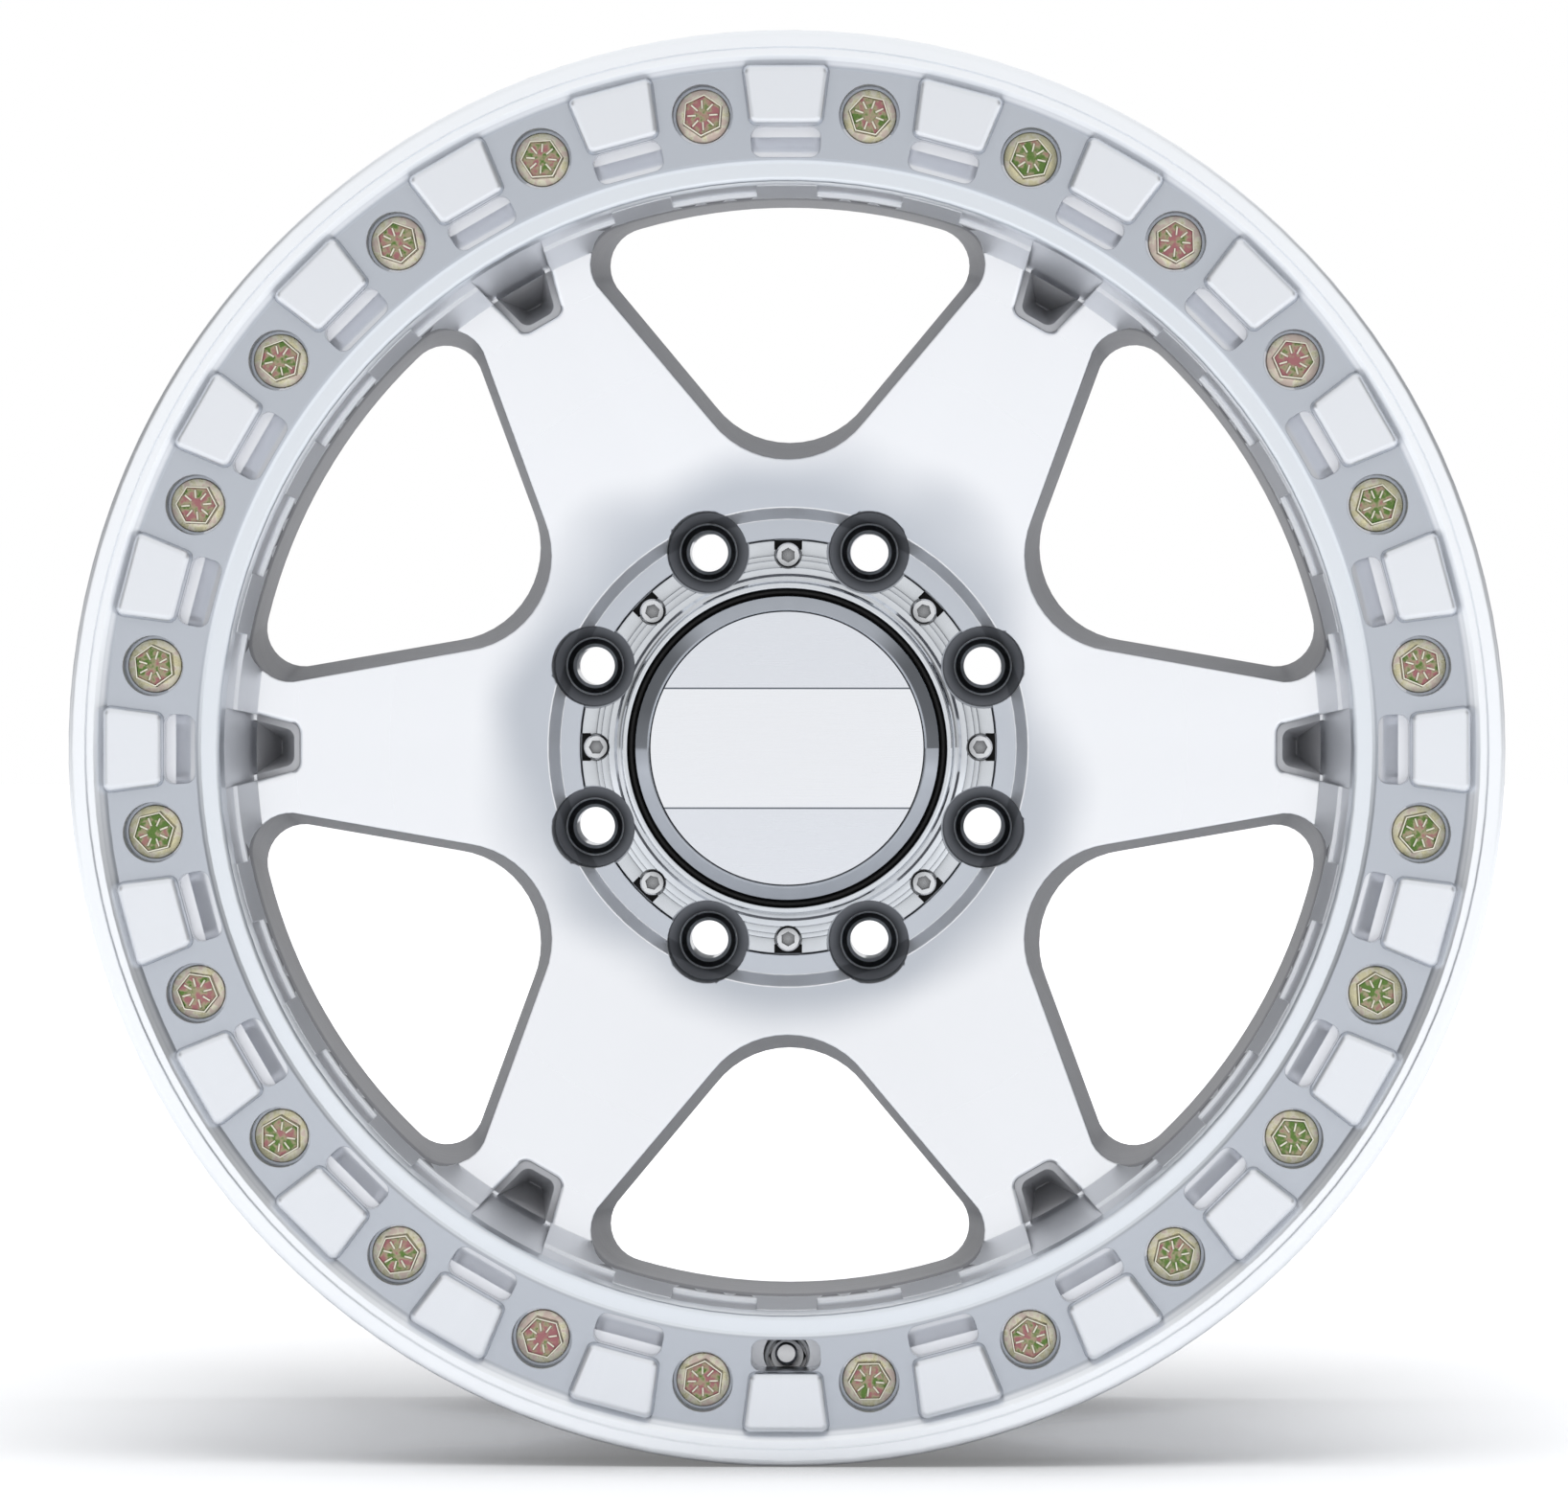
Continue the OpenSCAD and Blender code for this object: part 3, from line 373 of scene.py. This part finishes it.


# one entry for each plainer finish: colour, metallic, roughness, size and depth of its grain,
# and how dark the painted shade in its hollows gets
plainFinishes = {
    # decorative chrome on moulded ABS: mirror bright, and it doubles every edge round it
    "chromedPlastic": ("#D6DADF", 1.0, 0.07, 6 * mm, 0.001 * mm, 0.25),
    # the same chrome over a darker nickel, so that the bezel and its skirt look smoky
    "smokyChromedPlastic": ("#A6ABB3", 1.0, 0.07, 6 * mm, 0.001 * mm, 0.3),
    # stainless socket screws, cold headed and bright, with shade painted dark inside the sockets
    "brightSocketSteel": ("#D8DADD", 1.0, 0.22, 1.5 * mm, 0.004 * mm, 0.15),
    # moulded nitrile rubber: black, soft and dull
    "mouldedBlackRubber": ("#141517", 0.0, 0.6, 0.8 * mm, 0.03 * mm, 0.6),
    # nickel on turned brass: pale and a little warm
    "nickelledBrass": ("#CBCCCF", 1.0, 0.2, 1.5 * mm, 0.004 * mm, 0.3),
    # turned brass left bare, yellow and satin
    "bareBrass": ("#CDB06C", 1.0, 0.3, 1.5 * mm, 0.004 * mm, 0.4),
    # oiled spring and insert steel, grey and dull
    "plainSteel": ("#8D9096", 1.0, 0.4, 1.0 * mm, 0.008 * mm, 0.5),
    # red silicone seals of a valve core
    "redSealRubber": ("#A03A30", 0.0, 0.55, 0.8 * mm, 0.02 * mm, 0.6),
    # zinc painted pale on the raised marks and the hexagon's rim, as a painted highlight
    "paleZincHighlight": ("#F0EDDC", 1.0, 0.35, 0.8 * mm, 0.004 * mm, 0.9),
}


def plainMaterial(name):
    code, metallic, roughness, grainSize, grainDepth, darkest = plainFinishes[name]
    material, tree = startMaterial(name)
    point = addNode(tree, "TexCoord", output="Object")
    grain = addNode(tree, "TexNoise", {"Vector": point, "Scale": 1 / grainSize, "Detail": 3.0})
    darker = [c * 0.9 for c in toLinear(code)[:3]] + [1.0]
    colour = addNode(tree, "Mix", {0: grain, 6: darker, 7: toLinear(code)}, 2, data_type="RGBA")
    depth = addNode(tree, "Math", (grain, grainDepth), operation="MULTIPLY")
    endMaterial(tree, {
        # shade painted into the hollows, as dark as the finish's last column gives
        "Base Color": shadeHollows(tree, colour, 7 * mm, darkest),
        "Metallic": metallic,
        "Roughness": addNode(tree, "MapRange", (grain, 0.0, 1.0, roughness * 0.8, roughness * 1.2)),
        "Normal": bumpOver(tree, depth, smallEdge),
    })
    return material


# fine brushed aluminium disc, polished in the band between its two engraved lines
facePlate = {
    "brushed": "#DADDE3", "polished": "#E9EBEF", "line": "#6A6F78",
    "lineAt": 23.2 * mm, "lineWidth": 0.6 * mm, "bandFade": 0.1 * mm,
    "brushRough": 0.26, "polishRough": 0.14, "roughSpread": 0.06,
    "brushPitch": 0.5 * mm,     # real brush lines are under 0.1 mm apart, too fine to show
    "brushStretch": 0.02,       # how slowly they change along their length
    "brushDepth": 0.003 * mm,
    "stretch": 0.4,             # how far reflections stretch across the brush lines
}


def facePlateMaterial(look):
    material, tree = startMaterial("brushedAluminiumDisc")
    places = wheelPlaces(tree)
    places["offLine"] = awayFrom(tree, places["offMiddle"], look["lineAt"])
    bandStart, bandWhole = look["lineAt"] + look["bandFade"], look["lineAt"] - look["bandFade"]
    colour, masks = layRegions(tree, places, toLinear(look["brushed"]), {
        "band": (look["polished"], ("offMiddle", bandStart, bandWhole)),
        "line": (look["line"], ("offLine", look["lineWidth"] * 0.65, look["lineWidth"] * 0.4)),
    })
    scales = (look["brushStretch"] / look["brushPitch"], 1, 1 / look["brushPitch"])
    stretched = addNode(tree, "VectorMath", (places["point"], scales), operation="MULTIPLY")
    brushed = addNode(tree, "TexNoise", {"Vector": stretched, "Scale": 1.0, "Detail": 3.0})
    rough = addNode(tree, "MapRange", (masks["band"], 0.0, 1.0, look["brushRough"], look["polishRough"]))
    spread = addNode(tree, "MapRange", (brushed, 0.0, 1.0, -look["roughSpread"], look["roughSpread"]))
    rough = addNode(tree, "Math", (rough, spread), operation="ADD")
    depth = addNode(tree, "Math", (brushed, look["brushDepth"]), operation="MULTIPLY")
    bump = addNode(tree, "Bump", {"Height": depth, "Distance": 1.0, "Strength": 1.0})
    endMaterial(tree, {
        "Base Color": colour, "Metallic": 1.0, "Roughness": rough,
        "Anisotropic": look["stretch"], "Normal": bump,
    })
    return material


finishes = {name: plainMaterial(name) for name in plainFinishes}
finishes["castWheel"] = castWheelMaterial(castWheel)
finishes["clampRing"] = clampRingMaterial(clampRing)
finishes["zinc"] = zincMaterial("yellowZincSteel", zincFilm["outside"], zincFilm)
finishes["zincShadedHollow"] = zincMaterial("yellowZincPaintedShade", zincFilm["hollow"], zincFilm)
finishes["facePlate"] = facePlateMaterial(facePlate)

nodeFinish = {
    "wheel_body": "castWheel", "clamp_ring": "clampRing", "clamp_bolts": "zinc",
    # the cap gasket's black rubber is a dark part set where shade falls, in the collar's notches
    "thread_inserts": "plainSteel", "cap_collar": "chromedPlastic", "cap_gasket": "mouldedBlackRubber",
    "cap_screws": "brightSocketSteel", "cap_insert": "smokyChromedPlastic", "cap_seal": "mouldedBlackRubber",
    "cap_plate": "facePlate", "valve_stem": "nickelledBrass", "valve_grommet": "mouldedBlackRubber",
    "valve_washer": "nickelledBrass", "valve_nut": "nickelledBrass", "valve_core": "bareBrass",
    "valve_core_seal": "redSealRubber", "valve_pin": "bareBrass", "valve_pin_cup": "redSealRubber",
    "valve_spring": "plainSteel", "valve_cap": "nickelledBrass", "valve_cap_seal": "mouldedBlackRubber",
}
for nodeName, finishName in nodeFinish.items():
    slots = nodes[nodeName].data.materials
    slots.clear()
    slots.append(finishes[finishName])
print("finishes set")


def addPiece(mesh, name, materialNames):
    data = bpy.data.meshes.new(name)
    mesh.to_mesh(data)
    mesh.free()
    piece = bpy.data.objects.new(name, data)
    bpy.context.scene.collection.objects.link(piece)
    for materialName in materialNames:
        data.materials.append(finishes[materialName])
    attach(piece, "wheel")
    return piece


def smoothFaces(mesh, sharpFrom):
    for face in mesh.faces:
        face.smooth = True
    for edge in mesh.edges:
        edge.smooth = edge.calc_face_angle(0) < math.radians(sharpFrom)


# roundings that a casting and a milled pad have, by where their edges lie, all in mm
edgeRounds = {
    "padTops": {"radius": (238.4, 263.4), "height": (111.8, 112.2), "width": 2.2, "segments": 4},
    "notchRims": {"radius": (188.0, 206.4), "height": (64.0, 67.4), "width": 1.9, "segments": 3, "inNotch": True},
    "windowRims": {"radius": (95.0, 206.4), "height": (59.0, 67.4), "width": 0.8, "segments": 2, "inNotch": False},
}
notch = {"from": 186, "halfWidth": 15.5}    # the notches' inner end and half their width, in mm


# whether an edge is one of a rounding's: convex, between a face that looks ahead and one that turns away
def isRounded(edge, rounding):
    middle = (edge.verts[0].co + edge.verts[1].co) / 2
    radius, height = math.hypot(middle.x, middle.z) / mm, -middle.y / mm
    (nearest, farthest), (lowest, highest) = rounding["radius"], rounding["height"]
    if not (nearest < radius < farthest and lowest < height < highest):
        return False
    if len(edge.link_faces) != 2 or not edge.is_convex:
        return False
    turned, ahead = sorted(-face.normal.y for face in edge.link_faces)
    offAxis = abs(math.remainder(math.atan2(middle.z, middle.x), fullTurn / spokeCount)) * radius
    inNotch = radius > notch["from"] and offAxis < notch["halfWidth"]
    return ahead > 0.97 and turned < 0.7 and inNotch == rounding.get("inNotch", inNotch)


# a copy of a node with chosen front edges rounded
def roundedCopy(nodeName, pieceName, finishName, roundNames):
    mesh = bmesh.new()
    mesh.from_mesh(nodes[nodeName].data)
    bmesh.ops.remove_doubles(mesh, verts=mesh.verts[:], dist=weldDistance)
    bmesh.ops.dissolve_limit(mesh, angle_limit=math.radians(0.4), verts=mesh.verts[:], edges=mesh.edges[:])
    for roundName in roundNames:
        rounding = edgeRounds[roundName]
        chosen = [edge for edge in mesh.edges if isRounded(edge, rounding)]
        print(roundName, len(chosen), "edges")
        bmesh.ops.bevel(mesh, geom=chosen, offset=rounding["width"] * mm, offset_type="OFFSET",
                        segments=rounding["segments"], profile=0.5, affect="EDGES", clamp_overlap=False,
                        material=-1)
    smoothFaces(mesh, 28)
    piece = addPiece(mesh, pieceName, [finishName])
    flatten = piece.modifiers.new("flatFacesStayFlat", "WEIGHTED_NORMAL")
    flatten.keep_sharp = True
    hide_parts(nodeName)


roundedCopy("clamp_ring", "clampRing", "clampRing", ["padTops"])
roundedCopy("wheel_body", "wheelBody", "castWheel", ["notchRims", "windowRims"])
print("edges rounded")

# M10 flange bolts with a hollow head that carries eight raised strength lines
flangeBolt = {
    "circle": 245.3 * mm, "seat": 97 * mm, "shank": 9.5 * mm, "length": 31 * mm, "tip": 0.8 * mm,
    "flange": 20.8 * mm, "flangeThick": 2.0 * mm, "hexAcross": 14.3 * mm, "headHeight": 8.4 * mm,
    "rim": 0.7 * mm, "rimRound": 0.35 * mm, "hollowDepth": 0.9 * mm, "hollowDraft": 0.3 * mm,
    "lines": 8, "lineInner": 2.5 * mm, "lineOuter": 5.9 * mm, "lineWidth": 0.75 * mm,
    "lineRise": 0.45 * mm, "lineRound": 0.15 * mm,
    "hexSunk": 0.4 * mm, "lineSunk": 0.1 * mm,  # how deep they start in the metal under them
    "turnStep": 23,             # degrees that each bolt is turned further than the last
}
paintedShadeSlot, paintedHighlightSlot = 1, 2   # places of these finishes among the bolts' three


def makeFlangeBolt(bolt):
    mesh = bmesh.new()
    # shank and flange, spun from half a section
    reach, thick, shank, tip = bolt["flange"] / 2, bolt["flangeThick"], bolt["shank"] / 2, bolt["tip"]
    section = [(0, -bolt["length"]), (shank - tip, -bolt["length"]), (shank, -bolt["length"] + tip),
               (shank, 0), (reach - 0.3 * mm, 0), (reach, 0.3 * mm), (reach, thick - 0.7 * mm),
               (reach - 0.25 * mm, thick - 0.2 * mm), (reach - 0.8 * mm, thick), (0, thick + 0.5 * mm)]
    verts = [mesh.verts.new((across, 0, up)) for across, up in section]
    edges = [mesh.edges.new(pair) for pair in zip(verts, verts[1:])]
    bmesh.ops.spin(mesh, geom=verts + edges, cent=(0, 0, 0), axis=(0, 0, 1), angle=fullTurn, steps=40,
                   use_merge=True)
    bmesh.ops.remove_doubles(mesh, verts=mesh.verts[:], dist=weldDistance)
    bmesh.ops.recalc_face_normals(mesh, faces=mesh.faces[:])

    # hexagon with a rounded rim and a hollow in its top
    top, sunk = bolt["headHeight"], thick - bolt["hexSunk"]
    corner = bolt["hexAcross"] / 2 / math.cos(math.pi / 6)
    made = bmesh.ops.create_circle(mesh, cap_ends=True, segments=6, radius=corner,
                                   matrix=Matrix.Translation((0, 0, sunk)))
    base = made["verts"][0].link_faces[0]
    side = bmesh.ops.extrude_face_region(mesh, geom=[base])["geom"]
    lid = next(item for item in side if isinstance(item, bmesh.types.BMFace))
    bmesh.ops.translate(mesh, verts=lid.verts[:], vec=(0, 0, top - sunk))
    hexFaces = list({face for vert in list(base.verts) + list(lid.verts) for face in vert.link_faces})
    bmesh.ops.recalc_face_normals(mesh, faces=hexFaces)
    bmesh.ops.inset_individual(mesh, faces=[lid], thickness=bolt["rim"], depth=0.0)
    rim = {face for vert in lid.verts for face in vert.link_faces if face.normal.z > 0.9} - {lid}
    hollow = bmesh.ops.inset_individual(mesh, faces=[lid], thickness=bolt["hollowDraft"],
                                        depth=-bolt["hollowDepth"])["faces"]
    # the hexagon's rim gets the pale zinc, a painted highlight
    for face in rim:
        face.material_index = paintedHighlightSlot
    # the hollow and its floor get the darker zinc, painted shade
    for face in hollow + [lid]:
        face.material_index = paintedShadeSlot
    rimEdges = [edge for edge in mesh.edges
                if all(abs(vert.co.z - top) < 0.01 * mm and vert.co.xy.length > corner - 0.1 * mm
                       for vert in edge.verts)]
    bmesh.ops.bevel(mesh, geom=rimEdges, offset=bolt["rimRound"], offset_type="OFFSET", segments=2,
                    profile=0.5, affect="EDGES", clamp_overlap=True, material=-1)

    # the raised lines lie on the hollow's floor
    floor, sunk = top - bolt["hollowDepth"], bolt["lineSunk"]
    middle = ((bolt["lineInner"] + bolt["lineOuter"]) / 2, 0, floor + bolt["lineRise"] / 2 - sunk)
    size = (bolt["lineOuter"] - bolt["lineInner"], bolt["lineWidth"], bolt["lineRise"] + 2 * sunk, 1)
    for line in range(bolt["lines"]):
        turn = Matrix.Rotation((line + 0.5) * fullTurn / bolt["lines"], 4, "Z")
        place = turn @ Matrix.Translation(middle) @ Matrix.Diagonal(size)
        bar = bmesh.ops.create_cube(mesh, size=1.0, matrix=place)["verts"]
        barFaces = {face for vert in bar for face in vert.link_faces}
        barEdges = {edge for face in barFaces for edge in face.edges if all(v.co.z > floor for v in edge.verts)}
        # the raised lines get the pale zinc, a painted highlight
        for face in barFaces:
            face.material_index = paintedHighlightSlot
        bmesh.ops.bevel(mesh, geom=list(barEdges), offset=bolt["lineRound"], offset_type="OFFSET",
                        segments=1, profile=0.5, affect="EDGES", clamp_overlap=True, material=-1)
    return mesh


def makeBolts(bolt):
    one = bpy.data.meshes.new("oneBolt")
    single = makeFlangeBolt(bolt)
    smoothFaces(single, 35)
    single.to_mesh(one)
    single.free()
    mesh = bmesh.new()
    for k in range(boltCount):
        known = len(mesh.verts)
        mesh.from_mesh(one)
        mesh.verts.ensure_lookup_table()
        place = (Matrix.Rotation(math.pi / 2, 4, "X")
                 @ Matrix.Rotation((k + 0.5) * fullTurn / boltCount, 4, "Z")
                 @ Matrix.Translation((bolt["circle"], 0, bolt["seat"]))
                 @ Matrix.Rotation(math.radians((k * bolt["turnStep"]) % 60), 4, "Z"))
        bmesh.ops.transform(mesh, matrix=place, verts=mesh.verts[known:])
    bpy.data.meshes.remove(one)
    piece = addPiece(mesh, "flangeBolts", ["zinc", "zincShadedHollow", "paleZincHighlight"])
    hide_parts("clamp_bolts")


makeBolts(flangeBolt)
print("bolts made")

# plain pale floor under a soft white studio
studio = {
    "floor": "#F4F5F7", "floorSize": 12.0,
    "paintedContactShadow": 0.07,            # how far from the wheel the painted contact shadow reaches on the floor, in metres
    "nearGlow": 0.18, "farGlow": 0.80,      # keeps the far floor as white as the lamp makes the near one
    "glowEnds": (0.35, 1.7),    # between these distances, in metres
    "inGloss": 0.75,            # share of that glow which metal mirrors
    "ahead": 1.0, "behind": 1.0, "sideShare": 0.3, "farSide": 0.4, "onDiffuse": 0.5,
    "lamp": 46.0, "lampSize": 1.8, "lampAt": (0.1, -0.45, 2.4),
}


def makeFloor(studio):
    mesh = bmesh.new()
    bmesh.ops.create_grid(mesh, x_segments=1, y_segments=1, size=studio["floorSize"],
                          matrix=Matrix.Translation((0, 0, cadLow.z)))
    data = bpy.data.meshes.new("floor")
    mesh.to_mesh(data)
    mesh.free()
    floor = bpy.data.objects.new("floor", data)
    bpy.context.scene.collection.objects.link(floor)
    material, tree = startMaterial("paleFloor")
    # painted contact shadow: the floor's colour darkens towards black near the wheel
    paintedContactShadow = addNode(tree, "AmbientOcclusion", {"Distance": studio["paintedContactShadow"]}, "AO", samples=6)
    paintedContactShadow = addNode(tree, "MapRange", (paintedContactShadow, 0.35, 0.9, 0.25, 1.0))
    colour = {0: paintedContactShadow, 6: (0, 0, 0, 1), 7: toLinear(studio["floor"])}
    colour = addNode(tree, "Mix", colour, 2, data_type="RGBA")
    diffuse = addNode(tree, "BsdfDiffuse", {"Color": colour})
    seen = addNode(tree, "LightPath", output="Is Camera Ray")
    mirrored = seen.node.outputs["Is Glossy Ray"]
    seen = addNode(tree, "Math", (mirrored, studio["inGloss"], seen), operation="MULTIPLY_ADD")
    point = addNode(tree, "TexCoord", output="Object")
    away = addNode(tree, "VectorMath", (point,), "Value", operation="LENGTH")
    glow = addNode(tree, "MapRange", (away, *studio["glowEnds"], studio["nearGlow"], studio["farGlow"]))
    glow = addNode(tree, "Math", (seen, glow), operation="MULTIPLY")
    glow = addNode(tree, "Emission", {"Color": (1, 1, 1, 1), "Strength": glow})
    addNode(tree, "OutputMaterial", (addNode(tree, "AddShader", (diffuse, glow)),))
    data.materials.append(material)


# the world is white all round but for a greyer band at each side, and half as bright on what is dull
def makeLight(studio):
    world = bpy.data.worlds.new("paleStudio")
    bpy.context.scene.world = world
    world.use_nodes = True
    tree = world.node_tree
    tree.nodes.clear()
    across = addNode(tree, "SeparateXYZ", (addNode(tree, "TexCoord", output="Generated"),))
    along, up = across.node.outputs[1], across.node.outputs[2]
    ahead = addNode(tree, "MapRange", (along, 0.25, -0.75), interpolation_type="SMOOTHSTEP")
    above = addNode(tree, "MapRange", (up, 0.2, 0.8), interpolation_type="SMOOTHSTEP")
    lit = addNode(tree, "Math", (ahead, above), operation="MAXIMUM")
    level = addNode(tree, "MapRange", (lit, 0.0, 1.0, studio["behind"], studio["ahead"]))
    aside = addNode(tree, "Math", (across,), operation="ABSOLUTE")
    band = (aside, 0.50, 0.78, 1.0, studio["sideShare"])
    band = addNode(tree, "MapRange", band, interpolation_type="SMOOTHSTEP")
    farSide = (aside, 0.90, 1.0, 0.0, studio["farSide"])
    farSide = addNode(tree, "MapRange", farSide, interpolation_type="SMOOTHSTEP")
    level = addNode(tree, "Math", (level, band, farSide), operation="MULTIPLY_ADD")
    seen = addNode(tree, "LightPath", output="Is Camera Ray")
    dull = seen.node.outputs["Is Diffuse Ray"]
    onDiffuse = addNode(tree, "MapRange", (dull, 0.0, 1.0, 1.0, studio["onDiffuse"]))
    level = addNode(tree, "Math", (level, onDiffuse), operation="MULTIPLY")
    strength = addNode(tree, "Mix", {0: seen, 2: level, 3: 1.0}, data_type="FLOAT")
    background = addNode(tree, "Background", {"Color": (1, 1, 1, 1), "Strength": strength})
    addNode(tree, "OutputWorld", (background,))

    data = bpy.data.lights.new("overhead", "AREA")
    data.size, data.energy = studio["lampSize"], studio["lamp"]
    lamp = bpy.data.objects.new("overhead", data)
    lamp.visible_glossy = False
    lamp.location = studio["lampAt"]
    lamp.rotation_mode = "QUATERNION"
    lamp.rotation_quaternion = (-Vector(lamp.location)).to_track_quat("-Z", "Y")
    bpy.context.scene.collection.objects.link(lamp)


makeFloor(studio)
makeLight(studio)
bpy.context.scene.view_settings.view_transform = "Standard"
print("stage set")
